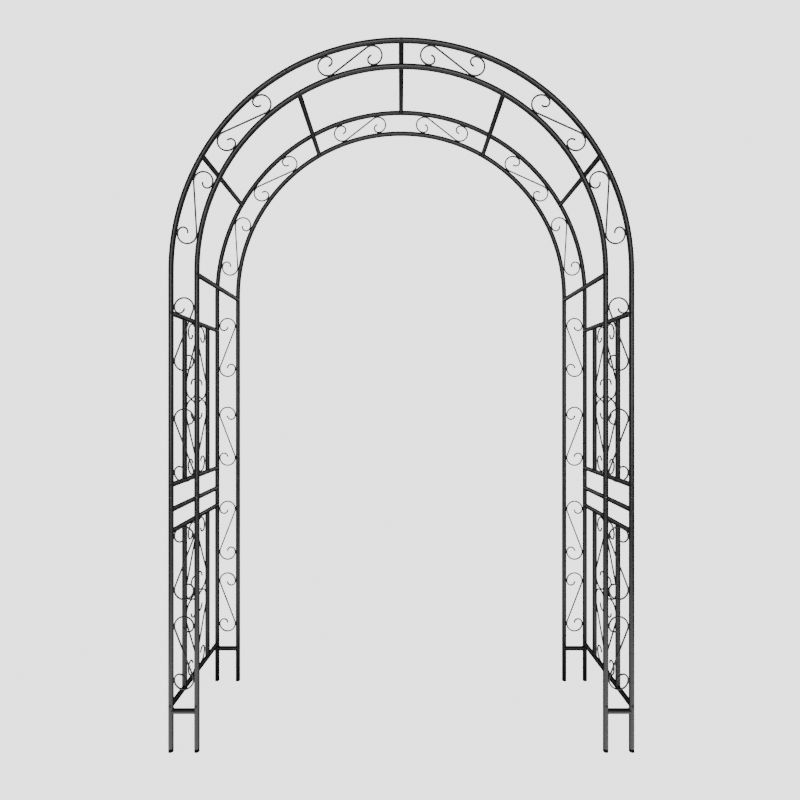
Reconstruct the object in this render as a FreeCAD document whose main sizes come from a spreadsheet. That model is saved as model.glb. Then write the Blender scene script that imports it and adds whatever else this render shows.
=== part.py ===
import FreeCAD, Part
import math
import os

import Sketcher
from FreeCAD import Placement, Rotation, Vector

# Metal trellis arch, millimetres, +Z up, front of the arch towards -Y.
# The origin is on the centre line, level with the tips of the ground stakes.

# ---------------------------------------------------------------- sizes ----
# Every independent size, as (name, value). Lengths in mm, angles in degrees.
SIZES = [
    # Overall frame
    ("arch_radius", 710),            # centre line of the outer tube
    ("rail_spacing", 80),            # outer tube centre to inner tube centre
    ("spring_height", 1482),         # where the straight legs turn into the arch
    ("frame_depth", 390),            # front frame centre to back frame centre
    # Stock
    ("tube_diameter", 16),
    ("tube_wall", 1.2),
    ("bar_diameter", 16),
    ("bar_wall", 1),
    ("wire_diameter", 5),
    # Joints between the frame sections
    ("crown_joint_angle", 61.6),
    ("crown_gap_angle", 0.04),
    ("joint_gap", 0.5),
    ("leg_joint_height", 783),
    ("stake_joint_height", 133.5),
    ("stake_bar_height", 124),
    ("sleeve_wall", 1.2),
    ("sleeve_clearance", 0.35),
    ("crown_sleeve_angle", 5.6),
    ("leg_sleeve_length", 120),
    ("stake_sleeve_length", 76),
    ("cope_clearance", 0.1),
    # Crossbars
    ("outer_bar_angle", 60),
    ("inner_bar_angle", 30),
    ("shoulder_bar_drop", 12),       # below the spring line, on the inner tubes
    ("upper_panel_top", 1351),
    ("upper_panel_bottom", 821),
    ("middle_bar_height", 744),
    ("lower_panel_top", 677),
    ("lower_panel_bottom", 142),
    ("panel_bar_share", 0.25),       # upright bars, as a share of the frame depth
    # Scrolls
    ("crown_scroll_angle", 13.75),
    ("crown_scroll_span", 12.2),
    ("haunch_scroll_angle", 46.75),
    ("haunch_scroll_span", 13.3),
    ("shoulder_scroll_angle", 73),
    ("shoulder_scroll_span", 14.6),
    ("leg_scroll_spacing", 165),
    ("first_leg_scroll", 1286),
    ("second_leg_scroll", 943),
    ("third_leg_scroll", 580),
    ("fourth_leg_scroll", 303),
    ("panel_scroll_small_radius", 33),
    ("panel_scroll_large_radius", 42),
    ("hook_lead_share", 0.65),       # radius of the first hook bend / scroll radius
    ("hook_lead_angle", 35),
    ("hook_tip_share", 0.5),         # radius of the second hook bend / scroll radius
    ("hook_tip_angle", 145),
    # Fixings
    ("bolt_diameter", 4),
    ("bolt_length", 30),
    ("screw_length", 8),
    ("head_diameter", 8),
    ("head_height", 2.4),
    ("socket_width", 2.5),
    ("socket_depth", 1.3),
    ("bolt_clearance", 0.5),         # on the diameter, in the tubes
    ("thread_clearance", 0.1),       # on the diameter, in inserts and tapped holes
    ("insert_length", 15),
    ("insert_clearance", 0.1),       # on the radius, inside the crossbar
    ("insert_inset", 0.3),
]

doc = FreeCAD.newDocument("trellis_arch")
sheet = doc.addObject("Spreadsheet::Sheet", "Sizes")
for row, (alias, value) in enumerate(SIZES, start=1):
    sheet.set(f"A{row}", alias)
    sheet.set(f"B{row}", str(value))
    sheet.setAlias(f"B{row}", alias)
doc.recompute()
size = {alias: float(sheet.get(alias)) for alias, _ in SIZES}

# Radii and distances that follow from the sheet
OUTER_RADIUS = size["arch_radius"]
INNER_RADIUS = size["arch_radius"] - size["rail_spacing"]
MIDDLE_RADIUS = (OUTER_RADIUS + INNER_RADIUS) / 2
TUBE_RADIUS = size["tube_diameter"] / 2
HALF_DEPTH = size["frame_depth"] / 2
SPRING = size["spring_height"]

# The same relations as expressions for the bound features
ARCH_RADIUS = {
    "outer": "Sizes.arch_radius",
    "inner": "(Sizes.arch_radius - Sizes.rail_spacing)",
}
TUBE_OUTSIDE = "Sizes.tube_diameter / 2"
TUBE_INSIDE = "Sizes.tube_diameter / 2 - Sizes.tube_wall"
BAR_OUTSIDE = "Sizes.bar_diameter / 2"
BAR_INSIDE = "Sizes.bar_diameter / 2 - Sizes.bar_wall"
SLEEVE_OUTSIDE = "Sizes.tube_diameter / 2 - Sizes.tube_wall - Sizes.sleeve_clearance"
SLEEVE_INSIDE = SLEEVE_OUTSIDE + " - Sizes.sleeve_wall"
BOLT_HOLE = "(Sizes.bolt_diameter + Sizes.bolt_clearance) / 2"
TAPPED_HOLE = "(Sizes.bolt_diameter + Sizes.thread_clearance) / 2"
FRAME_SCROLL_RADIUS = "(Sizes.rail_spacing - Sizes.tube_diameter - Sizes.wire_diameter) / 2"

ORIGIN_POINT = (-1, 1)
CENTRE_POINT = 3

nodes = []


# -------------------------------------------------------------- helpers ----
def value_of(expression):
    """Work out an expression of sheet names with the sheet's own numbers."""
    sheet.set("Z1", "=" + expression.replace("Sizes.", ""))
    sheet.recompute()
    answer = sheet.get("Z1")
    return float(getattr(answer, "Value", answer))


def new_body(name):
    return doc.addObject("PartDesign::Body", name)


def sketch_on(body, plane, name):
    """An empty sketch on one of the body's own origin planes."""
    sketch = body.newObject("Sketcher::SketchObject", f"{body.Name}_{name}")
    origin_plane = [feature for feature in body.Origin.OriginFeatures if feature.Role == plane][0]
    sketch.AttachmentSupport = [(origin_plane, "")]
    sketch.MapMode = "FlatFace"
    return sketch


def constrain(sketch, expression, kind, *references):
    """Add one measured constraint and tie it to the sheet."""
    start = value_of(expression)
    if kind == "Angle":
        start = math.radians(start)
    index = sketch.addConstraint(Sketcher.Constraint(kind, *references, start))
    sketch.setExpression(f"Constraints[{index}]", expression)


def add_circle(sketch, radius, across="0", up="0"):
    """A circle of a bound radius whose centre is bound to the sketch origin."""
    start = Vector(value_of(across), value_of(up), 0)
    circle = Part.Circle(start, Vector(0, 0, 1), value_of(radius))
    index = sketch.addGeometry(circle, False)
    constrain(sketch, radius, "Radius", index)
    if across == "0" and up == "0":
        sketch.addConstraint(Sketcher.Constraint("Coincident", index, CENTRE_POINT, *ORIGIN_POINT))
        return
    constrain(sketch, across, "DistanceX", *ORIGIN_POINT, index, CENTRE_POINT)
    constrain(sketch, up, "DistanceY", *ORIGIN_POINT, index, CENTRE_POINT)


def pad(body, sketch, length, midplane=False, downward=False):
    feature = body.newObject("PartDesign::Pad", f"{sketch.Name}_pad")
    feature.Profile = sketch
    feature.setExpression("Length", length)
    feature.Midplane = midplane
    feature.Reversed = downward
    body.Tip = feature
    return feature


def revolve(body, sketch, axis, angle, midplane=False, backward=False):
    feature = body.newObject("PartDesign::Revolution", f"{sketch.Name}_turned")
    feature.Profile = sketch
    feature.ReferenceAxis = (sketch, [axis])
    feature.setExpression("Angle", angle)
    feature.Midplane = midplane
    feature.Reversed = backward
    body.Tip = feature
    return feature


def pocket_through(body, sketch):
    feature = body.newObject("PartDesign::Pocket", f"{sketch.Name}_cut")
    feature.Profile = sketch
    feature.Type = "ThroughAll"
    feature.Midplane = True
    body.Tip = feature
    return feature


def ring(body, plane, name, outside, inside, across="0", up="0"):
    sketch = sketch_on(body, plane, name)
    add_circle(sketch, outside, across, up)
    add_circle(sketch, inside, across, up)
    return sketch


def drill(body, holes, hole_radius=BOLT_HOLE):
    """Cross holes, front to back, at (across, up) expressions from the body origin."""
    sketch = sketch_on(body, "XZ_Plane", "holes")
    for across, up in holes:
        add_circle(sketch, hole_radius, across, up)
    pocket_through(body, sketch)


def publish(item, label, placement=None):
    """Name a finished sub-part, place it, and list it for export."""
    item.Label = label
    if placement is not None:
        item.Placement = placement
    nodes.append(item)
    return item


def group(label, master, placements):
    """Several identical solids as one sub-part."""
    links = []
    for number, placement in enumerate(placements, start=1):
        link = doc.addObject("App::Link", f"{label}_{number}")
        link.LinkedObject = master
        link.LinkTransform = False
        link.Placement = placement
        links.append(link)
    compound = doc.addObject("Part::Compound", label + "_set")
    compound.Links = links
    publish(compound, label)


def on_arch(radius, angle):
    """Expressions for a point on the arch, measured from the arch centre."""
    return f"{radius} * sin({angle} * 1 deg)", f"{radius} * cos({angle} * 1 deg)"


def arch_point(side, radius, angle, y):
    """A point on the arch: side is -1 for left, +1 for right; angle is from the top."""
    turn = math.radians(angle)
    return Vector(side * radius * math.sin(turn), y, SPRING + radius * math.cos(turn))


# ---------------------------------------------------------- frame tubes ----
def crown_tube(rail):
    """Bent tube over the top, from one crown joint to the other."""
    body = new_body(f"crown_{rail}")
    profile = ring(body, "YZ_Plane", "section", TUBE_OUTSIDE, TUBE_INSIDE, up=ARCH_RADIUS[rail])
    revolve(body, profile, "H_Axis", "2 * (Sizes.crown_joint_angle - Sizes.crown_gap_angle)",
            midplane=True)
    angles = ["Sizes.outer_bar_angle", "Sizes.inner_bar_angle"]
    holes = []
    for angle in angles:
        across, up = on_arch(ARCH_RADIUS[rail], angle)
        holes.append((across, up))
        holes.append(("-" + across, up))
    if rail == "outer":
        holes.append(("0", ARCH_RADIUS[rail]))
    drill(body, holes)
    return body


def below_spring(height):
    return f"-(Sizes.spring_height - Sizes.{height})"


def upper_tube(rail):
    """Right-hand tube from the crown joint down to the leg joint."""
    body = new_body(f"upper_{rail}")
    leg = ring(body, "XY_Plane", "leg", TUBE_OUTSIDE, TUBE_INSIDE, across=ARCH_RADIUS[rail])
    pad(body, leg, "Sizes.spring_height - Sizes.leg_joint_height - Sizes.joint_gap", downward=True)
    bend = ring(body, "XY_Plane", "bend", TUBE_OUTSIDE, TUBE_INSIDE, across=ARCH_RADIUS[rail])
    revolve(body, bend, "V_Axis", "90 - Sizes.crown_joint_angle", backward=True)
    heights = [below_spring("upper_panel_top"), below_spring("upper_panel_bottom")]
    if rail == "inner":
        heights.append("-Sizes.shoulder_bar_drop")
    drill(body, [(ARCH_RADIUS[rail], height) for height in heights])
    return body


def lower_tube(rail):
    """Straight tube from the leg joint down to the stake joint."""
    body = new_body(f"lower_{rail}")
    section = ring(body, "XY_Plane", "section", TUBE_OUTSIDE, TUBE_INSIDE)
    pad(body, section, "Sizes.leg_joint_height - Sizes.stake_joint_height - Sizes.joint_gap")
    levels = ["middle_bar_height", "lower_panel_top", "lower_panel_bottom"]
    if rail == "inner":
        levels.remove("lower_panel_top")
    drill(body, [("0", f"Sizes.{level} - Sizes.stake_joint_height") for level in levels])
    return body


def stake_tube():
    """Plain tube end that goes into the ground."""
    body = new_body("stake_tube")
    section = ring(body, "XY_Plane", "section", TUBE_OUTSIDE, TUBE_INSIDE)
    pad(body, section, "Sizes.stake_joint_height")
    return body


def stake_bar():
    """Short tube welded between the two tubes of a stake, coped to fit both."""
    body = new_body("stake_bar")
    section = ring(body, "YZ_Plane", "section", TUBE_OUTSIDE, TUBE_INSIDE)
    pad(body, section, "Sizes.rail_spacing", midplane=True)
    cope = sketch_on(body, "XY_Plane", "cope")
    radius = TUBE_OUTSIDE + " + Sizes.cope_clearance"
    add_circle(cope, radius, across="Sizes.rail_spacing / 2")
    add_circle(cope, radius, across="-Sizes.rail_spacing / 2")
    pocket_through(body, cope)
    return body


# -------------------------------------------------------------- sleeves ----
def crown_sleeve(rail):
    """Curved sleeve inside a crown joint, drawn for the right-hand side."""
    body = new_body(f"crown_sleeve_{rail}")
    section = ring(body, "YZ_Plane", "section", SLEEVE_OUTSIDE, SLEEVE_INSIDE, up=ARCH_RADIUS[rail])
    revolve(body, section, "H_Axis", "Sizes.crown_sleeve_angle", midplane=True)
    drill(body, [on_arch(ARCH_RADIUS[rail], "(Sizes.outer_bar_angle - Sizes.crown_joint_angle)")],
          TAPPED_HOLE)
    return body


def leg_sleeve(rail):
    """Straight sleeve inside a leg joint."""
    body = new_body(f"leg_sleeve_{rail}")
    section = ring(body, "XY_Plane", "section", SLEEVE_OUTSIDE, SLEEVE_INSIDE)
    pad(body, section, "Sizes.leg_sleeve_length", midplane=True)
    levels = ["upper_panel_bottom", "middle_bar_height"]
    drill(body, [("0", f"Sizes.{level} - Sizes.leg_joint_height") for level in levels], TAPPED_HOLE)
    return body


def stake_sleeve():
    """Straight sleeve inside a stake joint."""
    body = new_body("stake_sleeve")
    section = ring(body, "XY_Plane", "section", SLEEVE_OUTSIDE, SLEEVE_INSIDE)
    pad(body, section, "Sizes.stake_sleeve_length", midplane=True)
    drill(body, [("0", "Sizes.lower_panel_bottom - Sizes.stake_joint_height")], TAPPED_HOLE)
    return body


# ------------------------------------------------- crossbars and panels ----
def crossbar():
    """Front-to-back tube, coped at both ends to sit against the frame tubes."""
    body = new_body("crossbar")
    section = ring(body, "XZ_Plane", "section", BAR_OUTSIDE, BAR_INSIDE)
    pad(body, section, "Sizes.frame_depth", midplane=True)
    cope = sketch_on(body, "XY_Plane", "cope")
    radius = TUBE_OUTSIDE + " + Sizes.cope_clearance"
    add_circle(cope, radius, up="Sizes.frame_depth / 2")
    add_circle(cope, radius, up="-Sizes.frame_depth / 2")
    pocket_through(body, cope)
    return body


def panel_upright(level):
    """Upright bar of a side panel, coped over the rails above and below."""
    body = new_body(f"{level}_upright")
    height = f"(Sizes.{level}_panel_top - Sizes.{level}_panel_bottom)"
    section = ring(body, "XY_Plane", "section", BAR_OUTSIDE, BAR_INSIDE)
    pad(body, section, height, midplane=True)
    cope = sketch_on(body, "XZ_Plane", "cope")
    radius = BAR_OUTSIDE + " + Sizes.cope_clearance"
    add_circle(cope, radius, up=height + " / 2")
    add_circle(cope, radius, up="-" + height + " / 2")
    pocket_through(body, cope)
    return body


# -------------------------------------------------------------- scrolls ----
def arc(centre, radius, first, last):
    circle = Part.Circle(centre, Vector(0, 0, 1), radius)
    return Part.ArcOfCircle(circle, math.radians(first), math.radians(last))


def polar(radius, angle):
    turn = math.radians(angle)
    return Vector(radius * math.cos(turn), radius * math.sin(turn), 0)


def scroll_end(sign, radius, half, slant):
    """The three arcs of one end, hook tip first: centre, radius, first and last angle."""
    lead = radius * size["hook_lead_share"]
    tip = radius * size["hook_tip_share"]
    turn_off = 90 - size["hook_lead_angle"]
    centre = Vector(-half, 0, 0)
    lead_centre = centre + polar(radius - lead, 90)
    tip_centre = lead_centre + polar(lead - tip, turn_off)
    turn = 0 if sign > 0 else 180
    return [
        arc(tip_centre * sign, tip, turn_off - size["hook_tip_angle"] + turn, turn_off + turn),
        arc(lead_centre * sign, lead, turn_off + turn, 90 + turn),
        arc(centre * sign, radius, 90 + turn, 270 + slant + turn),
    ]


def scroll_path(sketch, radii, spacing):
    """S shape: a slanting stem, a big bend at each end and a hook that curls back in."""
    first, last = (value_of(radius) for radius in radii)
    half = value_of(spacing) / 2
    slant = math.degrees(math.asin((first + last) / 2 / half))
    stem_start = Vector(-half, 0, 0) + polar(first, slant - 90)
    stem_end = Vector(half, 0, 0) + polar(last, slant + 90)
    first_end = scroll_end(1, first, half, slant)
    last_end = scroll_end(-1, last, half, slant)
    stem = Part.LineSegment(stem_start, stem_end)
    sketch.addGeometry(first_end + [stem] + last_end[::-1], False)

    start, end = 1, 2
    joints = [(0, end, 1, start), (1, end, 2, start), (2, end, 3, start),
              (3, end, 4, end), (4, start, 5, end), (5, start, 6, end)]
    for joint in joints:
        sketch.addConstraint(Sketcher.Constraint("Tangent", *joint))
    for radius, big, lead, tip in ((radii[0], 2, 1, 0), (radii[1], 4, 5, 6)):
        constrain(sketch, radius, "Radius", big)
        sketch.addConstraint(Sketcher.Constraint("Vertical", big, CENTRE_POINT, big, start))
        sketch.addConstraint(Sketcher.Constraint("PointOnObject", big, CENTRE_POINT, -1))
        constrain(sketch, f"{radius} * Sizes.hook_lead_share", "Radius", lead)
        constrain(sketch, "Sizes.hook_lead_angle", "Angle", lead)
        constrain(sketch, f"{radius} * Sizes.hook_tip_share", "Radius", tip)
        constrain(sketch, "Sizes.hook_tip_angle", "Angle", tip)
    constrain(sketch, f"({spacing}) / 2", "DistanceX", *ORIGIN_POINT, 4, CENTRE_POINT)
    constrain(sketch, f"({spacing}) / 2", "DistanceX", 2, CENTRE_POINT, *ORIGIN_POINT)


def scroll(name, radii, spacing):
    """Round wire bent along the S path. Long side along X, flat in the XZ plane."""
    body = new_body(name)
    path = sketch_on(body, "XZ_Plane", "path")
    scroll_path(path, radii, spacing)
    doc.recompute()
    section = body.newObject("Sketcher::SketchObject", f"{name}_section")
    section.AttachmentSupport = [(path, "Edge1")]
    section.MapMode = "NormalToEdge"
    section.MapPathParameter = 0
    add_circle(section, "Sizes.wire_diameter / 2")
    wire = body.newObject("PartDesign::AdditivePipe", f"{name}_wire")
    wire.Profile = section
    wire.Spine = (path, [f"Edge{number}" for number in range(1, 8)])
    wire.Mode = "Standard"
    body.Tip = wire
    return body


def in_plane(centre, along, outward):
    """Placement that turns the scroll's X to 'along' and its Z to 'outward'."""
    return Placement(centre, Rotation(along, outward.cross(along), outward, "ZXY"))


def arch_scroll_placement(side, angle, span, y, outer_first):
    """A scroll between the bent tubes; outer_first: its stem starts at the outer tube."""
    turn = math.radians(angle)
    radius = MIDDLE_RADIUS * math.cos(math.radians(span / 2))
    centre = arch_point(side, radius, angle, y)
    along = Vector(side * math.cos(turn), 0, -math.sin(turn))
    outward = Vector(side * math.sin(turn), 0, math.cos(turn))
    return in_plane(centre, along, -outward if outer_first else outward)


def leg_scroll_placement(side, height, y, outer_first):
    centre = Vector(side * MIDDLE_RADIUS, y, height)
    outward = Vector(side, 0, 0)
    return in_plane(centre, Vector(0, 0, -1), -outward if outer_first else outward)


SMALL_REACH = "(Sizes.panel_scroll_small_radius + Sizes.wire_diameter / 2)"
LARGE_REACH = "(Sizes.panel_scroll_large_radius + Sizes.wire_diameter / 2)"


def panel_scroll_sideways():
    """How far a panel scroll's two bends sit apart across the panel."""
    return (f"(Sizes.panel_bar_share * Sizes.frame_depth - Sizes.bar_diameter / 2"
            f" - {SMALL_REACH} - {LARGE_REACH})")


def panel_scroll_rise(level):
    """How far a panel scroll's two bends sit apart in height."""
    height = f"(Sizes.{level}_panel_top - Sizes.{level}_panel_bottom)"
    return f"({height} / 2 - Sizes.bar_diameter / 2 - {SMALL_REACH} - {LARGE_REACH})"


def panel_scroll(level):
    """Four of these fill a side panel; each leans from the middle out to its upright."""
    radii = ("Sizes.panel_scroll_small_radius", "Sizes.panel_scroll_large_radius")
    spread = f"sqrt({panel_scroll_sideways()}^2 + {panel_scroll_rise(level)}^2)"
    return scroll(f"{level}_panel_scroll", radii, spread)


def panel_scroll_placements(level, side):
    small, large = value_of(SMALL_REACH), value_of(LARGE_REACH)
    sideways = value_of(panel_scroll_sideways())
    rise = value_of(panel_scroll_rise(level))
    middle = (size[f"{level}_panel_top"] + size[f"{level}_panel_bottom"]) / 2
    placements = []
    for column in (-1, 1):
        for row in (-1, 1):
            rail_bend = Vector(0, column * small, row * (rise + large))
            centre_bend = Vector(0, column * (small + sideways), row * large)
            centre = Vector(side * OUTER_RADIUS, 0, middle) + (rail_bend + centre_bend) * 0.5
            along = (centre_bend - rail_bend).normalize()
            outward = Vector(0, column, 0)
            outward = (outward - along * outward.dot(along)).normalize()
            placements.append(in_plane(centre, along, outward))
    return placements


# -------------------------------------------------------------- fixings ----
def button_fixing(name, length):
    """Button-head screw along +Y, head at the origin on the -Y side, with a hex socket."""
    body = new_body(name)
    head = sketch_on(body, "XZ_Plane", "head")
    add_circle(head, "Sizes.head_diameter / 2")
    pad(body, head, "Sizes.head_height")
    shank = sketch_on(body, "XZ_Plane", "shank")
    add_circle(shank, "Sizes.bolt_diameter / 2")
    pad(body, shank, length, downward=True)
    doc.recompute()
    plain = body.Tip
    rim = body.newObject("PartDesign::Fillet", f"{name}_dome")
    rim.Base = (plain, [front_edge(plain)])
    rim.setExpression("Radius", "Sizes.head_height * 0.8")
    body.Tip = rim
    doc.recompute()
    add_socket(body)
    return body


def front_edge(feature):
    """Name of the round edge furthest forward on the head."""
    edges = list(enumerate(feature.Shape.Edges, start=1))
    number, _ = min(edges, key=lambda item: item[1].BoundBox.YMax)
    return f"Edge{number}"


def add_socket(body):
    """Six-sided socket, sunk from the crown of the head."""
    socket = body.newObject("Sketcher::SketchObject", f"{body.Name}_socket")
    origin_plane = [plane for plane in body.Origin.OriginFeatures if plane.Role == "XZ_Plane"][0]
    socket.AttachmentSupport = [(origin_plane, "")]
    socket.MapMode = "FlatFace"
    socket.AttachmentOffset = Placement(Vector(0, 0, size["head_height"]), Rotation())
    socket.setExpression("AttachmentOffset.Base.z", "Sizes.head_height")
    corner = size["socket_width"] / math.sqrt(3)
    corners = [polar(corner, 60 * step) for step in range(6)]
    for number, point in enumerate(corners):
        socket.addGeometry(Part.LineSegment(point, corners[(number + 1) % 6]), False)
    for number in range(6):
        following = (number + 1) % 6
        socket.addConstraint(Sketcher.Constraint("Coincident", number, 2, following, 1))
    cut = body.newObject("PartDesign::Pocket", f"{body.Name}_socket_cut")
    cut.Profile = socket
    cut.setExpression("Length", "Sizes.socket_depth")
    body.Tip = cut


def threaded_insert():
    """Plug with a threaded bore, inside each end of a crossbar."""
    body = new_body("threaded_insert")
    section = ring(body, "XZ_Plane", "section", BAR_INSIDE + " - Sizes.insert_clearance", TAPPED_HOLE)
    pad(body, section, "Sizes.insert_length", downward=True)
    return body


# ------------------------------------------------------------- assembly ----
FRAMES = {"front": -HALF_DEPTH, "back": HALF_DEPTH}
SIDES = {"left": -1, "right": 1}
RAILS = {"outer": OUTER_RADIUS, "inner": INNER_RADIUS}


def facing(y):
    """Fixings come in from outside: unturned at the front, turned round at the back."""
    return Rotation() if y < 0 else Rotation(Vector(0, 0, 1), 180)


def crossbar_spots():
    """Every crossbar as (group name, x, z, turn), turned so its copes follow the tube."""
    spots = [("crossbars_on_outer_arch_tubes", 0.0, SPRING + OUTER_RADIUS, 90)]
    for side in SIDES.values():
        for name, radius, angle in (("outer", OUTER_RADIUS, size["outer_bar_angle"]),
                                    ("inner", INNER_RADIUS, size["inner_bar_angle"])):
            point = arch_point(side, radius, angle, 0)
            spots.append((f"crossbars_on_{name}_arch_tubes", point.x, point.z, 90 + side * angle))
        spots.append(("crossbars_on_inner_arch_tubes", side * INNER_RADIUS,
                      SPRING - size["shoulder_bar_drop"], 0))
    for name, side in SIDES.items():
        for level in ("upper", "lower"):
            for end in ("top", "bottom"):
                spots.append((f"{name}_{level}_panel_rails", side * OUTER_RADIUS,
                              size[f"{level}_panel_{end}"], 0))
        spots.append(("middle_crossbars", side * OUTER_RADIUS, size["middle_bar_height"], 0))
    return spots


def screw_spots():
    """Short screws on the tubes that carry no crossbar there, as (x, z)."""
    spots = []
    for side in SIDES.values():
        for radius, angle in ((OUTER_RADIUS, size["inner_bar_angle"]),
                              (INNER_RADIUS, size["outer_bar_angle"])):
            point = arch_point(side, radius, angle, 0)
            spots.append((point.x, point.z))
        for level in ("upper_panel_top", "upper_panel_bottom", "middle_bar_height",
                      "lower_panel_bottom"):
            spots.append((side * INNER_RADIUS, size[level]))
    return spots


def build_frames():
    """Tubes of both frames: crown, upper and lower sections and stakes."""
    for frame, y in FRAMES.items():
        for rail, radius in RAILS.items():
            centre = Placement(Vector(0, y, SPRING), Rotation())
            publish(crown_tube(rail), f"{frame}_crown_{rail}_tube", centre)
            for side, sign in SIDES.items():
                turned = Rotation(Vector(0, 0, 1), 0 if sign > 0 else 180)
                publish(upper_tube(rail), f"{frame}_{side}_upper_{rail}_tube",
                        Placement(Vector(0, y, SPRING), turned))
                foot = Vector(sign * radius, y, size["stake_joint_height"])
                publish(lower_tube(rail), f"{frame}_{side}_lower_{rail}_tube",
                        Placement(foot, Rotation()))


def build_stakes():
    tube = stake_tube()
    bar = stake_bar()
    bars = []
    for frame, y in FRAMES.items():
        for side, sign in SIDES.items():
            pair = [Placement(Vector(sign * radius, y, 0), Rotation()) for radius in RAILS.values()]
            group(f"{frame}_{side}_stake_tubes", tube, pair)
            bars.append(Placement(Vector(sign * MIDDLE_RADIUS, y, size["stake_bar_height"]), Rotation()))
    group("stake_bars", bar, bars)


def build_sleeves():
    """Sleeves hidden inside every tube joint."""
    for rail, radius in RAILS.items():
        crown = []
        leg = []
        for y in FRAMES.values():
            for side in SIDES.values():
                tilt = Rotation(Vector(0, 1, 0), side * size["crown_joint_angle"])
                flip = Rotation(Vector(0, 0, 1), 0 if side > 0 else 180)
                crown.append(Placement(Vector(0, y, SPRING), tilt.multiply(flip)))
                leg.append(Placement(Vector(side * radius, y, size["leg_joint_height"]), Rotation()))
        group(f"crown_joint_sleeves_{rail}", crown_sleeve(rail), crown)
        group(f"leg_joint_sleeves_{rail}", leg_sleeve(rail), leg)
    stakes = [Placement(Vector(side * radius, y, size["stake_joint_height"]), Rotation())
              for y in FRAMES.values() for side in SIDES.values() for radius in RAILS.values()]
    group("stake_joint_sleeves", stake_sleeve(), stakes)


def arch_scroll(name):
    chord = f"(Sizes.arch_radius - Sizes.rail_spacing / 2) * 2 * sin(Sizes.{name}_scroll_span / 2 * 1 deg)"
    return scroll(f"{name}_scroll", (FRAME_SCROLL_RADIUS,) * 2, chord)


def build_frame_scrolls():
    """Scrolls between the two tubes of each frame, leaning left and right in turn."""
    arch_kinds = [("crown", True), ("haunch", False), ("shoulder", True)]
    for name, outer_first in arch_kinds:
        angle = size[f"{name}_scroll_angle"]
        span = size[f"{name}_scroll_span"]
        group(f"{name}_scrolls", arch_scroll(name),
              [arch_scroll_placement(side, angle, span, y, outer_first)
               for y in FRAMES.values() for side in SIDES.values()])
    leg_scroll = scroll("leg_scroll", (FRAME_SCROLL_RADIUS,) * 2, "Sizes.leg_scroll_spacing")
    heights = {"upper": [("first", False), ("second", True)],
               "lower": [("third", False), ("fourth", True)]}
    for side, sign in SIDES.items():
        for level, kinds in heights.items():
            group(f"{side}_{level}_leg_scrolls", leg_scroll,
                  [leg_scroll_placement(sign, size[f"{kind}_leg_scroll"], y, outer_first)
                   for y in FRAMES.values() for kind, outer_first in kinds])


def build_crossbars():
    bar = crossbar()
    spots = crossbar_spots()
    for name in sorted({spot[0] for spot in spots}):
        group(name, bar, [Placement(Vector(x, 0, z), Rotation(Vector(0, 1, 0), turn))
                          for label, x, z, turn in spots if label == name])


def build_panels():
    """Uprights and scrolls of the side panels."""
    offset = size["panel_bar_share"] * size["frame_depth"]
    for level in ("upper", "lower"):
        upright = panel_upright(level)
        wire = panel_scroll(level)
        middle = (size[f"{level}_panel_top"] + size[f"{level}_panel_bottom"]) / 2
        for side, sign in SIDES.items():
            group(f"{side}_{level}_panel_uprights", upright,
                  [Placement(Vector(sign * OUTER_RADIUS, y, middle), Rotation())
                   for y in (-offset, offset)])
            group(f"{side}_{level}_panel_scrolls", wire, panel_scroll_placements(level, sign))


def build_fixings():
    """Bolts into the crossbar ends, the inserts that take them, and the short screws."""
    bolt = button_fixing("bolt", "Sizes.bolt_length")
    screw = button_fixing("screw", "Sizes.screw_length")
    insert = threaded_insert()
    face = HALF_DEPTH + TUBE_RADIUS
    seat = HALF_DEPTH - TUBE_RADIUS - size["insert_inset"]
    bars = [(x, z) for _, x, z, _ in crossbar_spots()]
    group("crossbar_bolts", bolt,
          [Placement(Vector(x, end * face, z), facing(end)) for x, z in bars for end in (-1, 1)])
    group("threaded_inserts", insert,
          [Placement(Vector(x, end * seat, z), facing(end)) for x, z in bars for end in (-1, 1)])
    group("joint_screws", screw,
          [Placement(Vector(x, end * face, z), facing(end))
           for x, z in screw_spots() for end in (-1, 1)])


def export_nodes():
    """Check every object and write one STEP file per sub-part."""
    doc.recompute()
    for item in doc.Objects:
        if "Invalid" in item.State or "Error" in item.State:
            raise RuntimeError(f"{item.Label} did not compute: {item.State}")
    os.makedirs("parts", exist_ok=True)
    for item in nodes:
        shape = item.Shape
        if shape.isNull() or not shape.isValid():
            raise RuntimeError(f"{item.Label} has a bad shape")
        shape.exportStep(f"parts/{item.Label}.step")
        print(item.Label, len(shape.Solids), round(shape.Volume))


build_frames()
build_stakes()
build_sleeves()
build_frame_scrolls()
build_crossbars()
build_panels()
build_fixings()
export_nodes()
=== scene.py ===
# %% [markdown]
# # A metal trellis arch
# The arch is two welded tube frames, one behind the other, joined by crossbars. Thin wire
# scrolls fill the space between the tubes, and two scroll panels close each side.
# The solid frame comes from the CAD model, so every tube, bar and screw is already the right
# size and in the right place. What is left for Blender is what the eye reads as real: the
# satin powder coat, the bent wire, the weld beads and the light that runs along the tubes.

import math

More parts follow.
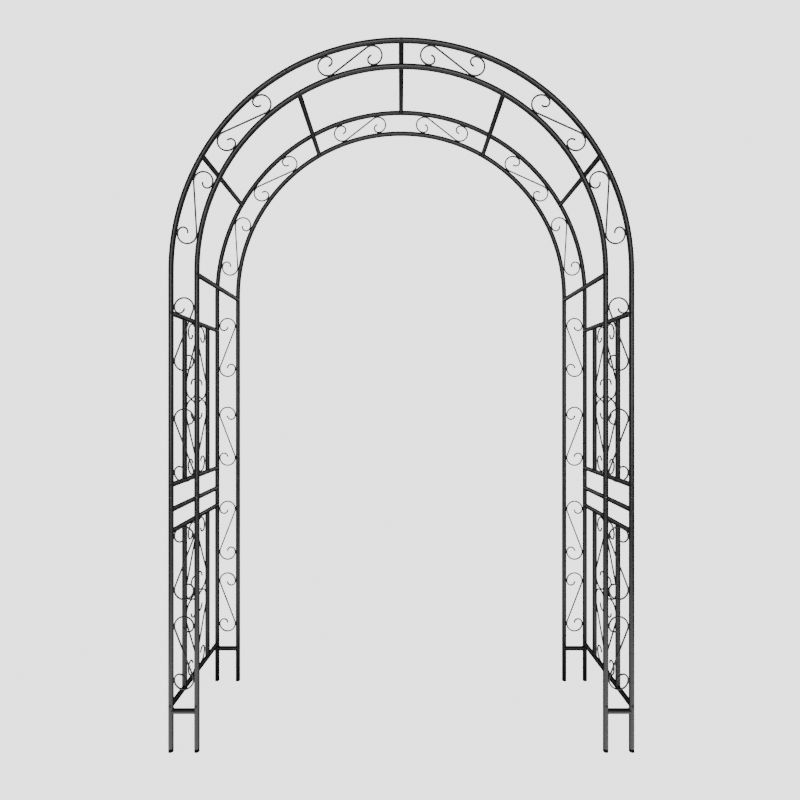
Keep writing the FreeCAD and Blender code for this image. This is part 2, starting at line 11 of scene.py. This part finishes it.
import bpy
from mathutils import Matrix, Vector


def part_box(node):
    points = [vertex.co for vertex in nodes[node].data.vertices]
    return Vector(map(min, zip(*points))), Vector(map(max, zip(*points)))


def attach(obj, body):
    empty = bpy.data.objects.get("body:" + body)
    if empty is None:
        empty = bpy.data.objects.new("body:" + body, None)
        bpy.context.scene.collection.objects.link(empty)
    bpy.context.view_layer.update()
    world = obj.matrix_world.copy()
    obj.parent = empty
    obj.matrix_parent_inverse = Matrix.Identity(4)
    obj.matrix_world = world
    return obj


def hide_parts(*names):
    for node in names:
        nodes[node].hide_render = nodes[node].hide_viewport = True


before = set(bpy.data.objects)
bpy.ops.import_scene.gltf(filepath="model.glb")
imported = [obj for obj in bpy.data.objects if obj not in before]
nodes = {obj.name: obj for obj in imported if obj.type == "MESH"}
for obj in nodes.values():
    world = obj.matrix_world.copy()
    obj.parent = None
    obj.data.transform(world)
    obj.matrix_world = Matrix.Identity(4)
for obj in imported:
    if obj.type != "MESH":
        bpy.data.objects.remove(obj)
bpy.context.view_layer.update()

# %% [markdown]
# Measures are read from the frame instead of typed in. A tube that runs straight up gives the
# tube's radius and the arch radius, and the top of the crown tube gives the height where the arch
# starts. The frame has no single number for where a scroll sits or how tightly it is bent, so
# those few measures are typed in further down and have to be kept in step with the CAD model.

# %% Measures taken from the frame
leg_low, leg_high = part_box("front_right_lower_outer_tube")
inner_low, inner_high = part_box("front_right_lower_inner_tube")
crown_low, crown_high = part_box("front_crown_outer_tube")
TUBE_RADIUS = (leg_high.x - leg_low.x) / 2
OUTER_RADIUS = (leg_high.x + leg_low.x) / 2
INNER_RADIUS = (inner_high.x + inner_low.x) / 2
MIDDLE_RADIUS = (OUTER_RADIUS + INNER_RADIUS) / 2
HALF_DEPTH = -(leg_high.y + leg_low.y) / 2
SPRING_HEIGHT = crown_high.z - TUBE_RADIUS - OUTER_RADIUS
print(f"tube radius {TUBE_RADIUS:.4f}, arch radii {OUTER_RADIUS:.3f} and {INNER_RADIUS:.3f}, "
      f"spring line {SPRING_HEIGHT:.3f}, half depth {HALF_DEPTH:.3f}")

# %% [markdown]
# Shader nodes are easier to read as sums. This small class wraps one output socket, so that
# `noise * 0.2 + 0.4` adds the Math nodes for us. Anything that is not simple arithmetic is
# made by one method, `node`, which sets the node's options first and then its sockets.

# %% A small helper for shader maths
class Wire:
    """One shader output, with + - * / and a few named steps."""

    def __init__(self, material, socket):
        self.material = material
        self.socket = socket

    def _math(self, operation, first, second):
        return self.material.node("ShaderNodeMath", {"operation": operation},
                                  {0: first, 1: second}).out(0)

    def __add__(self, other):
        return self._math("ADD", self, other)

    def __radd__(self, other):
        return self._math("ADD", other, self)

    def __sub__(self, other):
        return self._math("SUBTRACT", self, other)

    def __rsub__(self, other):
        return self._math("SUBTRACT", other, self)

    def __mul__(self, other):
        return self._math("MULTIPLY", self, other)

    def __rmul__(self, other):
        return self._math("MULTIPLY", other, self)

    def __pow__(self, other):
        return self._math("POWER", self, other)


class Step:
    """A placed node, whose outputs are handed back as wires."""

    def __init__(self, material, made):
        self.material = material
        self.made = made

    def out(self, name):
        return Wire(self.material, self.made.outputs[name])


class Shader:
    """A material's node tree, emptied and ready to build."""

    def __init__(self, name):
        self.material = bpy.data.materials.new(name)
        self.material.use_nodes = True
        self.tree = self.material.node_tree
        self.tree.nodes.clear()

    def node(self, kind, settings=None, sockets=None):
        made = self.tree.nodes.new(kind)
        for key, value in (settings or {}).items():
            setattr(made, key, value)
        for key, value in (sockets or {}).items():
            if isinstance(value, Wire):
                self.tree.links.new(value.socket, made.inputs[key])
            else:
                made.inputs[key].default_value = value
        return Step(self, made)

    def noise(self, where, scale, detail=2.0):
        return self.node("ShaderNodeTexNoise", {"noise_dimensions": "3D"},
                         {"Vector": where, "Scale": scale, "Detail": detail}).out("Fac")

    def blend(self, amount, first, second):
        mix = self.node("ShaderNodeMix", {"data_type": "RGBA"})
        for key, value in ((0, amount), (6, first), (7, second)):
            if isinstance(value, Wire):
                self.tree.links.new(value.socket, mix.made.inputs[key])
            else:
                mix.made.inputs[key].default_value = value
        return mix.out(2)

    def finish(self, shader):
        self.node("ShaderNodeOutputMaterial", {}, {"Surface": shader})
        return self.material


# %% [markdown]
# **Satin black powder coat.** The real frame is sprayed with dry powder and baked. Up close the
# skin is not flat: it has a fine orange peel a millimetre or two across, and it is a little
# duller in some places than in others. A flat black would lose the shape of the tube, so the
# bump breaks the highlight up and the roughness wanders slowly along the tube.

# %% Powder coat
def powder_coat(name, dark, light, roughness, peel):
    shader = Shader(name)
    place = shader.node("ShaderNodeTexCoord").out("Object")
    fine = shader.noise(place, 900.0, 2.0)
    broad = shader.noise(place, 9.0, 3.0)
    patch = shader.noise(place, 60.0, 2.0)
    bump = shader.node("ShaderNodeBump", {}, {"Strength": peel, "Distance": 0.0004,
                                              "Height": fine + patch * 0.6})
    surface = shader.node("ShaderNodeBsdfPrincipled", {}, {
        "Base Color": shader.blend(broad, dark, light),
        "Roughness": roughness - 0.06 + broad * 0.08 + fine * 0.05,
        "Normal": bump.out("Normal"),
    })
    surface.made.inputs["Specular IOR Level"].default_value = 0.5
    return shader.finish(surface.out("BSDF"))


tube_coat = powder_coat("powder_coat_tube", (0.006, 0.006, 0.0065, 1), (0.010, 0.010, 0.011, 1), 0.36, 0.25)
# The bars get a darker copy of the same powder coat: painted shade, for bars whose faces turn away from the
# front light.
shaded_bar_coat = powder_coat("powder_coat_bar_painted_shade", (0.004, 0.004, 0.0045, 1), (0.008, 0.008, 0.009, 1), 0.40, 0.25)
wire_coat = powder_coat("powder_coat_wire", (0.006, 0.006, 0.0065, 1), (0.010, 0.010, 0.011, 1), 0.38, 0.2)
print("coats made:", tube_coat.name, shaded_bar_coat.name, wire_coat.name)


def dress(names, material):
    """Give a finish to CAD nodes."""
    for name in names:
        mesh = nodes[name].data
        mesh.materials.clear()
        mesh.materials.append(material)


dress([n for n in nodes if "tube" in n or "stake_bars" in n], tube_coat)
dress([n for n in nodes if "crossbar" in n or "rails" in n or "uprights" in n], shaded_bar_coat)

# %% [markdown]
# **Screws and hidden steel.** The button-head screws are steel with a thin black oxide, which
# is a touch warmer than powder coat and is rubbed paler in small spots. The joint sleeves and
# threaded inserts inside the tubes are zinc plated, with the faint mottled spangle of zinc. The
# shapes are already in the frame, so both only need a finish.

# %% Screw and zinc finishes
def black_oxide(name):
    shader = Shader(name)
    place = shader.node("ShaderNodeTexCoord").out("Object")
    rubbed = shader.noise(place, 700.0, 3.0) ** 3.0
    surface = shader.node("ShaderNodeBsdfPrincipled", {}, {
        "Base Color": shader.blend(rubbed, (0.012, 0.011, 0.010, 1), (0.10, 0.10, 0.10, 1)),
        "Metallic": 0.5 + rubbed * 0.5,
        "Roughness": 0.38 - rubbed * 0.1,
    })
    return shader.finish(surface.out("BSDF"))


def zinc_plate(name):
    shader = Shader(name)
    place = shader.node("ShaderNodeTexCoord").out("Object")
    spangle = shader.noise(place, 160.0, 4.0)
    grain = shader.noise(place, 1200.0, 1.0)
    bump = shader.node("ShaderNodeBump", {}, {"Strength": 0.2, "Distance": 0.0002, "Height": grain})
    surface = shader.node("ShaderNodeBsdfPrincipled", {}, {
        "Base Color": shader.blend(spangle, (0.50, 0.52, 0.54, 1), (0.74, 0.75, 0.74, 1)),
        "Metallic": 1.0,
        "Roughness": 0.26 + spangle * 0.18,
        "Normal": bump.out("Normal"),
    })
    return shader.finish(surface.out("BSDF"))


screw_finish = black_oxide("black_oxide_screw")
zinc_finish = zinc_plate("zinc_plated_steel")
dress(["crossbar_bolts", "joint_screws"], screw_finish)
dress([n for n in nodes if "sleeve" in n or "insert" in n], zinc_finish)
print("nodes dressed:", len(nodes))

# %% [markdown]
# **Where the scrolls go.** Each scroll is one rod bent into an S: a slanting stem, a round bend
# at each end that just touches the tubes, and a hook that curls back inside. The frame scrolls
# all have bends of the same radius, because the gap between the tubes sets it. Here every
# scroll is written as two bend centres, so the welds can use the same points later.

# %% Scroll positions
WIRE_RADIUS = 0.0025
FRAME_BEND = OUTER_RADIUS - MIDDLE_RADIUS - TUBE_RADIUS - WIRE_RADIUS
ARCH_SCROLLS = [(13.75, 12.2, True), (46.75, 13.3, False), (73.0, 14.6, True)]
LEG_SCROLLS = [(1.286, False), (0.943, True), (0.580, False), (0.303, True)]
LEG_SPACING = 0.165


class Scroll:
    """Two bend centres with their radii, and the side its first hook curls away from."""

    def __init__(self, first, last, out, radii):
        self.first = first
        self.last = last
        self.along = (last - first).normalized()
        self.out = (out - self.along * out.dot(self.along)).normalized()
        self.radii = radii


def on_arch(side, degrees, radius, y):
    turn = math.radians(degrees)
    return Vector((side * radius * math.sin(turn), y, SPRING_HEIGHT + radius * math.cos(turn)))


def frame_scrolls():
    made = []
    for y in (-HALF_DEPTH, HALF_DEPTH):
        for side in (-1, 1):
            for middle, span, outer_first in ARCH_SCROLLS:
                first = on_arch(side, middle - span / 2, MIDDLE_RADIUS, y)
                last = on_arch(side, middle + span / 2, MIDDLE_RADIUS, y)
                out = on_arch(side, middle, 1.0, 0) - Vector((0, 0, SPRING_HEIGHT))
                made.append(Scroll(first, last, -out if outer_first else out, (FRAME_BEND,) * 2))
            for height, outer_first in LEG_SCROLLS:
                centre = Vector((side * MIDDLE_RADIUS, y, height))
                half = Vector((0, 0, LEG_SPACING / 2))
                out = Vector((-side if outer_first else side, 0, 0))
                made.append(Scroll(centre + half, centre - half, out, (FRAME_BEND,) * 2))
    return made


SMALL_BEND = 0.033
LARGE_BEND = 0.042


class Panel:
    """One side panel: its rails, its uprights and its four scrolls."""

    def __init__(self, side, level):
        name = f"{'left' if side < 0 else 'right'}_{level}_panel"
        rails_low, rails_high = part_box(name + "_rails")
        bars_low, bars_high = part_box(name + "_uprights")
        self.bar_radius = (rails_high.x - rails_low.x) / 2
        self.x = (rails_high.x + rails_low.x) / 2
        self.top = rails_high.z - self.bar_radius
        self.bottom = rails_low.z + self.bar_radius
        self.middle = (self.top + self.bottom) / 2
        self.upright_y = bars_high.y - self.bar_radius
        self.scrolls = [self.scroll(column, row) for column in (-1, 1) for row in (-1, 1)]

    def scroll(self, column, row):
        small = SMALL_BEND + WIRE_RADIUS
        large = LARGE_BEND + WIRE_RADIUS
        rail_face = self.middle + row * ((self.top - self.bottom) / 2 - self.bar_radius)
        first = Vector((self.x, column * small, rail_face - row * small))
        last = Vector((self.x, column * (self.upright_y - self.bar_radius - large),
                       self.middle + row * large))
        return Scroll(first, last, Vector((0, column, 0)), (SMALL_BEND, LARGE_BEND))


panels = [Panel(side, level) for side in (-1, 1) for level in ("upper", "lower")]
between_tubes = frame_scrolls()
print(len(between_tubes), "frame scrolls,", sum(len(p.scrolls) for p in panels), "panel scrolls")

# %% [markdown]
# The path of one scroll is drawn flat, with x along the scroll and y across it, and then laid
# into place. The bends are arcs that meet without a corner, so the rod stays smooth. The rod
# itself is swept by Geometry Nodes: the tree takes the path, gives it its thickness, rounds the
# cut ends, and keeps the thickness as a named input.

# %% Path of a bent rod
HOOK_LEAD_SHARE = 0.65
HOOK_TIP_SHARE = 0.50
HOOK_LEAD_TURN = 35
HOOK_TIP_TURN = 145
ARC_STEP = 7.5


def arc_points(centre, radius, first, last):
    count = max(2, round(abs(last - first) / ARC_STEP))
    turns = [math.radians(first + (last - first) * i / count) for i in range(count + 1)]
    return [Vector((centre[0] + radius * math.cos(t), centre[1] + radius * math.sin(t))) for t in turns]


def scroll_end(radius, half, slant):
    """Hook tip, hook lead and big bend of the end at -half."""
    lead = radius * HOOK_LEAD_SHARE
    tip = radius * HOOK_TIP_SHARE
    turn_off = 90 - HOOK_LEAD_TURN
    lead_centre = Vector((-half, radius - lead))
    tip_centre = lead_centre + (lead - tip) * Vector((math.cos(math.radians(turn_off)),
                                                      math.sin(math.radians(turn_off))))
    return (arc_points(tip_centre, tip, turn_off - HOOK_TIP_TURN, turn_off)
            + arc_points(lead_centre, lead, turn_off, 90)[1:]
            + arc_points((-half, 0), radius, 90, 270 + slant)[1:])


def scroll_points(scroll):
    half = (scroll.last - scroll.first).length / 2
    first, last = scroll.radii
    slant = math.degrees(math.asin((first + last) / 2 / half))
    flat = scroll_end(first, half, slant) + [-p for p in reversed(scroll_end(last, half, slant))]
    centre = (scroll.first + scroll.last) / 2
    return [centre + scroll.along * p.x + scroll.out * p.y for p in flat]


def path_object(name, paths, closed=False):
    """One curve object that holds every path as a spline, in world metres."""
    curve = bpy.data.curves.new(name, "CURVE")
    curve.dimensions = "3D"
    for points in paths:
        spline = curve.splines.new("POLY")
        spline.points.add(len(points) - 1)
        for target, point in zip(spline.points, points):
            target.co = (*point, 1)
        spline.use_cyclic_u = closed
    made = bpy.data.objects.new(name, curve)
    bpy.context.scene.collection.objects.link(made)
    return made


# %% [markdown]
# A Geometry Nodes tree is a recipe that is run on an object. `Tree` writes one link by link and
# gives it named inputs, and `grow` runs it once and keeps the plain mesh that comes out.

# %% Geometry Nodes: a small builder
class Tree:
    """A geometry node group with named inputs, built link by link."""

    def __init__(self, name, numbers):
        self.group = bpy.data.node_groups.new(name, "GeometryNodeTree")
        faces = self.group.interface
        faces.new_socket("Geometry", in_out="INPUT", socket_type="NodeSocketGeometry")
        faces.new_socket("Geometry", in_out="OUTPUT", socket_type="NodeSocketGeometry")
        faces.new_socket("Finish", in_out="INPUT", socket_type="NodeSocketMaterial")
        for key, value in numbers.items():
            kind = "NodeSocketInt" if isinstance(value, int) else "NodeSocketFloat"
            faces.new_socket(key, in_out="INPUT", socket_type=kind).default_value = value
        self.inputs = self.group.nodes.new("NodeGroupInput").outputs

    def node(self, kind, settings=None, sockets=None):
        made = self.group.nodes.new(kind)
        for key, value in (settings or {}).items():
            setattr(made, key, value)
        for key, value in (sockets or {}).items():
            if isinstance(value, bpy.types.NodeSocket):
                self.group.links.new(value, made.inputs[key])
            else:
                made.inputs[key].default_value = value
        return made.outputs

    def math(self, operation, *values):
        return self.node("ShaderNodeMath", {"operation": operation}, dict(enumerate(values)))[0]

    def finish(self, geometry):
        """End with real faces and one finish."""
        real = self.node("GeometryNodeRealizeInstances", {}, {"Geometry": geometry})[0]
        painted = self.node("GeometryNodeSetMaterial", {},
                            {"Geometry": real, "Material": self.inputs["Finish"]})[0]
        self.node("NodeGroupOutput", {}, {0: painted})
        return self.group


def grow(source, group, finish, numbers):
    """Run a tree on an object and keep the result as a plain mesh."""
    modifier = source.modifiers.new(group.name, "NODES")
    modifier.node_group = group
    for item in group.interface.items_tree:
        if item.in_out == "INPUT" and item.name == "Finish":
            modifier[item.identifier] = finish
        if item.in_out == "INPUT" and item.name in numbers:
            modifier[item.identifier] = numbers[item.name]
    graph = bpy.context.evaluated_depsgraph_get()
    graph.update()
    mesh = bpy.data.meshes.new_from_object(source.evaluated_get(graph))
    made = bpy.data.objects.new(source.name.replace("path_", ""), mesh)
    mesh.name = made.name
    bpy.context.scene.collection.objects.link(made)
    source.modifiers.clear()
    bpy.data.objects.remove(source)
    print(made.name, "has", len(mesh.polygons), "faces")
    return made


# %% Geometry Nodes: the bent rod
END_ROUNDING = 0.0012
ROD_SIZES = {"Rod radius": WIRE_RADIUS, "Sides": 12, "End rounding": END_ROUNDING}


def bent_rod_tree():
    tree = Tree("bent rod", ROD_SIZES)
    path = tree.inputs["Geometry"]
    length = tree.node("GeometryNodeSplineParameter")["Length"]
    whole = tree.node("GeometryNodeSplineLength")["Length"]
    to_end = tree.math("MINIMUM", length, tree.math("SUBTRACT", whole, length))
    share = tree.node("ShaderNodeMapRange", {"interpolation_type": "SMOOTHSTEP"},
                      {0: to_end, 1: 0.0, 2: tree.inputs["End rounding"], 3: 0.72, 4: 1.0})[0]
    radius = tree.math("MULTIPLY", tree.inputs["Rod radius"], share)
    profile = tree.node("GeometryNodeCurvePrimitiveCircle", {"mode": "RADIUS"},
                        {"Resolution": tree.inputs["Sides"], "Radius": 1.0})[0]
    rod = tree.node("GeometryNodeCurveToMesh", {}, {"Curve": path, "Profile Curve": profile,
                                                   "Scale": radius, "Fill Caps": True})[0]
    smooth = tree.node("GeometryNodeSetShadeSmooth", {}, {"Geometry": rod, "Shade Smooth": True})[0]
    return tree.finish(smooth)


def with_round_ends(points):
    """Add a point just inside each end, so the end can be rounded there."""
    def inset(end, inner):
        return end + (inner - end).normalized() * END_ROUNDING

    start = [points[0], inset(points[0], points[1])]
    stop = [inset(points[-1], points[-2]), points[-1]]
    return start + points[1:-1] + stop


def sweep_scrolls(name, scrolls, finish, stands_for):
    """Sweep rods along the scrolls, and hide the CAD nodes they take the place of."""
    paths = path_object("path_" + name, [with_round_ends(scroll_points(s)) for s in scrolls])
    rods = grow(paths, rod_tree, finish, ROD_SIZES)
    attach(rods, "root")
    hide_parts(*stands_for)


# %% Sweep the scrolls
rod_tree = bent_rod_tree()
scroll_nodes = [n for n in nodes if "scrolls" in n]
sweep_scrolls("frame_scrolls", between_tubes, wire_coat, [n for n in scroll_nodes if "panel" not in n])
sweep_scrolls("panel_scrolls", [s for p in panels for s in p.scrolls], wire_coat,
              [n for n in scroll_nodes if "panel" in n])

# %% [markdown]
# **Weld beads.** A welded frame is read as real at its joints. A bead is a row of small overlapping
# pools of metal, so its thickness rises and falls along the seam. The same tree serves the rings
# round the thick bars and the short tacks on the scrolls: it walks the seam in small
# steps and swells and pinches the bead as it goes. Short tacks also run out to a point.

# %% Geometry Nodes: the weld bead
def weld_tree():
    tree = Tree("weld bead", {"Bead radius": 0.0018, "Ripple pitch": 0.0022, "Ripple depth": 0.16,
                              "Run out": 0.003, "Step": 0.0007, "Sides": 7})
    length = tree.node("GeometryNodeSplineParameter")["Length"]
    whole = tree.node("GeometryNodeSplineLength")["Length"]
    path = tree.node("GeometryNodeResampleCurve", {"mode": "LENGTH"},
                     {"Curve": tree.inputs["Geometry"], "Length": tree.inputs["Step"]})[0]
    phase = tree.math("MULTIPLY", tree.math("DIVIDE", length, tree.inputs["Ripple pitch"]), 2 * math.pi)
    ripple = tree.math("MULTIPLY", tree.math("SINE", phase), tree.inputs["Ripple depth"])
    to_end = tree.math("MINIMUM", length, tree.math("SUBTRACT", whole, length))
    ends = tree.node("ShaderNodeMapRange", {"interpolation_type": "SMOOTHSTEP"},
                     {0: to_end, 1: 0.0, 2: tree.inputs["Run out"], 3: 0.35, 4: 1.0})[0]
    radius = tree.math("MULTIPLY", tree.math("MULTIPLY", tree.math("ADD", ripple, 1.0), ends),
                       tree.inputs["Bead radius"])
    profile = tree.node("GeometryNodeCurvePrimitiveCircle", {"mode": "RADIUS"},
                        {"Resolution": tree.inputs["Sides"], "Radius": 1.0})[0]
    bead = tree.node("GeometryNodeCurveToMesh", {}, {"Curve": path, "Profile Curve": profile,
                                                    "Scale": radius, "Fill Caps": True})[0]
    smooth = tree.node("GeometryNodeSetShadeSmooth", {}, {"Geometry": bead, "Shade Smooth": True})[0]
    return tree.finish(smooth)


# %% Seams round the thick bars
SEAM_POINTS = 40


def saddle(end, reach, across, up, bar_radius, tube_radius):
    """Closed seam where a round bar meets a round tube that runs along 'up'."""
    points = []
    for i in range(SEAM_POINTS):
        turn = 2 * math.pi * i / SEAM_POINTS
        side = bar_radius * math.cos(turn)
        depth = math.sqrt(max(tube_radius ** 2 - side ** 2, 0))
        points.append(end + reach * depth + across * side + up * bar_radius * math.sin(turn))
    return points


X, Y, Z = Vector((1, 0, 0)), Vector((0, 1, 0)), Vector((0, 0, 1))
SEAM_LIFT = 0.0006
SEAM_TUCK = 0.001
bars_low, bars_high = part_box("stake_bars")
STAKE_BAR_HEIGHT = (bars_low.z + bars_high.z) / 2
seams = []
for y in (-HALF_DEPTH, HALF_DEPTH):
    for side in (-1, 1):
        for radius, reach in ((OUTER_RADIUS, -side), (INNER_RADIUS, side)):
            tube_line = Vector((side * radius, y, STAKE_BAR_HEIGHT))
            seams.append(saddle(tube_line, X * reach, Y, Z, TUBE_RADIUS, TUBE_RADIUS + SEAM_LIFT))
for panel in panels:
    for y in (-panel.upright_y, panel.upright_y):
        for height, reach in ((panel.top, -1), (panel.bottom, 1)):
            rail_line = Vector((panel.x, y, height))
            seams.append(saddle(rail_line, Z * reach, X, Y, panel.bar_radius - SEAM_TUCK,
                                panel.bar_radius + SEAM_LIFT))
print(len(seams), "ring seams")

# %% [markdown]
# The scrolls are held by tacks where each bend touches a tube, on the front and on the back of
# the wire. A tack follows the tube, because that is where the gap between rod and tube is thin.

# %% Tacks on the scrolls
TACK_LENGTH = 0.007
TACK_OFFSET = 0.0018


def tack(point, run, aside):
    """Two short seams through one touching point, one on each side of the wire."""
    half = run.normalized() * TACK_LENGTH / 2
    return [[point - half + aside * s, point + aside * s, point + half + aside * s]
            for s in (-TACK_OFFSET, TACK_OFFSET)]


tacks = []
for scroll in between_tubes:
    for centre in (scroll.first, scroll.last):
        if centre.z > SPRING_HEIGHT:
            away = Vector((centre.x, 0, centre.z - SPRING_HEIGHT)).normalized()
        else:
            away = X if centre.x > 0 else -X
        for way in (-1, 1):
            touch = centre + away * way * (FRAME_BEND + WIRE_RADIUS)
            tacks += tack(touch, away.cross(Y), Y)
for panel in panels:
    for scroll in panel.scrolls:
        row = 1 if scroll.first.z > panel.middle else -1
        column = 1 if scroll.first.y > 0 else -1
        tacks += tack(scroll.first + Z * row * (SMALL_BEND + WIRE_RADIUS), Y, X)
        tacks += tack(scroll.last + Y * column * (LARGE_BEND + WIRE_RADIUS), Z, X)
        if column > 0:
            tacks += tack(Vector((panel.x, 0, scroll.first.z)), Z, X)
        if row > 0:
            tacks += tack(Vector((panel.x, scroll.last.y, panel.middle)), Y, X)
print(len(tacks), "tacks")

# %% Grow the welds
weld_coat = powder_coat("powder_coat_weld", (0.005, 0.005, 0.0055, 1), (0.009, 0.009, 0.010, 1), 0.42, 0.35)
weld_group = weld_tree()
ring_welds = grow(path_object("path_ring_welds", seams, closed=True), weld_group, weld_coat,
                  {"Bead radius": 0.0019, "Ripple pitch": 0.0023, "Ripple depth": 0.16,
                   "Run out": 0.0, "Step": 0.0007, "Sides": 8})
tack_welds = grow(path_object("path_tack_welds", tacks), weld_group, weld_coat,
                  {"Bead radius": 0.0011, "Ripple pitch": 0.0018, "Ripple depth": 0.14,
                   "Run out": 0.0025, "Step": 0.0006, "Sides": 6})
for welds, slot_name in ((ring_welds, "black_bar"), (tack_welds, "scroll_wire")):
    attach(welds, "root")

# %% [markdown]
# **Floor and light.** The floor and the backdrop glow evenly in pale white, so the thin shapes stay
# clear and no shadow falls. To the tubes they are nearly dark, which keeps the edges of the
# tubes dark. A large soft light in front draws the highlight down each tube, one close to the
# floor lifts the feet, and three weak ones fill the sides and the back.

# %% Stage
WHITE = 2.6
FLOOR_LIGHT = 0.06
ROOM_LIGHT = 0.03
FLOOR_SIZE = 60
FILL_PLACES = ((-4, 0, 1.5), (4, 0, 1.5), (0, 4, 1.5))


def stage_plane(name, size, height):
    mesh = bpy.data.meshes.new(name)
    half = size / 2
    mesh.from_pydata([(-half, -half, height), (half, -half, height), (half, half, height),
                      (-half, half, height)], [], [(0, 1, 2, 3)])
    plane = bpy.data.objects.new(name, mesh)
    bpy.context.scene.collection.objects.link(plane)
    return plane


floor = stage_plane("floor", FLOOR_SIZE, 0)
pale = Shader("pale_floor")
pale_surface = pale.node("ShaderNodeEmission", {}, {"Color": (1, 1, 1, 1), "Strength": FLOOR_LIGHT})
pale_glow = pale.node("ShaderNodeEmission", {}, {"Color": (1, 1, 1, 1), "Strength": WHITE})
seen_direct = pale.node("ShaderNodeLightPath").out("Is Camera Ray")
pale_mix = pale.node("ShaderNodeMixShader", {},
                     {0: seen_direct, 1: pale_surface.out(0), 2: pale_glow.out(0)})
floor.data.materials.append(pale.finish(pale_mix.out(0)))

world = bpy.data.worlds.new("studio")
bpy.context.scene.world = world
world.use_nodes = True
sky = world.node_tree
sky.nodes["Background"].inputs["Color"].default_value = (1, 1, 1, 1)
sky.nodes["Background"].inputs["Strength"].default_value = ROOM_LIGHT
seen = sky.nodes.new("ShaderNodeBackground")
seen.inputs["Color"].default_value = (1, 1, 1, 1)
seen.inputs["Strength"].default_value = WHITE
path = sky.nodes.new("ShaderNodeLightPath")
choose = sky.nodes.new("ShaderNodeMixShader")
sky.links.new(path.outputs["Is Camera Ray"], choose.inputs[0])
sky.links.new(sky.nodes["Background"].outputs[0], choose.inputs[1])
sky.links.new(seen.outputs[0], choose.inputs[2])
sky.links.new(choose.outputs[0], sky.nodes["World Output"].inputs["Surface"])


def softbox(name, location, aim, width, height, power):
    data = bpy.data.lights.new(name, "AREA")
    data.shape = "RECTANGLE"
    data.size = width
    data.size_y = height
    data.energy = power
    lamp = bpy.data.objects.new(name, data)
    lamp.location = location
    lamp.visible_camera = False
    lamp.rotation_euler = (Vector(aim) - Vector(location)).to_track_quat("-Z", "Y").to_euler()
    bpy.context.scene.collection.objects.link(lamp)


softbox("front_softbox", (0, -3.2, 1.5), (0, 0, 1.2), 2.2, 2.0, 75)
softbox("floor_softbox", (0, -0.9, 0.01), (0, -0.9, 2), 2.6, 1.4, 28)
for place in FILL_PLACES:
    softbox("fill_softbox", place, (0, 0, 1.2), 2.0, 2.0, 18)

# %% [markdown]
# **Camera.** It stands close in front of the arch at about half its height and looks straight at
# it with a wide lens, so the back frame looks clearly smaller than the front one.

# %% Camera
FOCAL_SHARE = 0.62467
CAMERA_DISTANCE = 1.5407
CAMERA_HEIGHT = 1.083
CAMERA_SIDE = -0.004
SENSOR_WIDTH = 36
camera_data = bpy.data.cameras.new("camera")
camera_data.sensor_width = SENSOR_WIDTH
camera_data.lens = SENSOR_WIDTH * FOCAL_SHARE
camera = bpy.data.objects.new("camera", camera_data)
camera.location = (CAMERA_SIDE, -HALF_DEPTH - CAMERA_DISTANCE, CAMERA_HEIGHT)
camera.rotation_euler = (math.radians(90), 0, 0)
bpy.context.scene.collection.objects.link(camera)
bpy.context.scene.camera = camera
print("lens in mm:", round(camera_data.lens, 2))
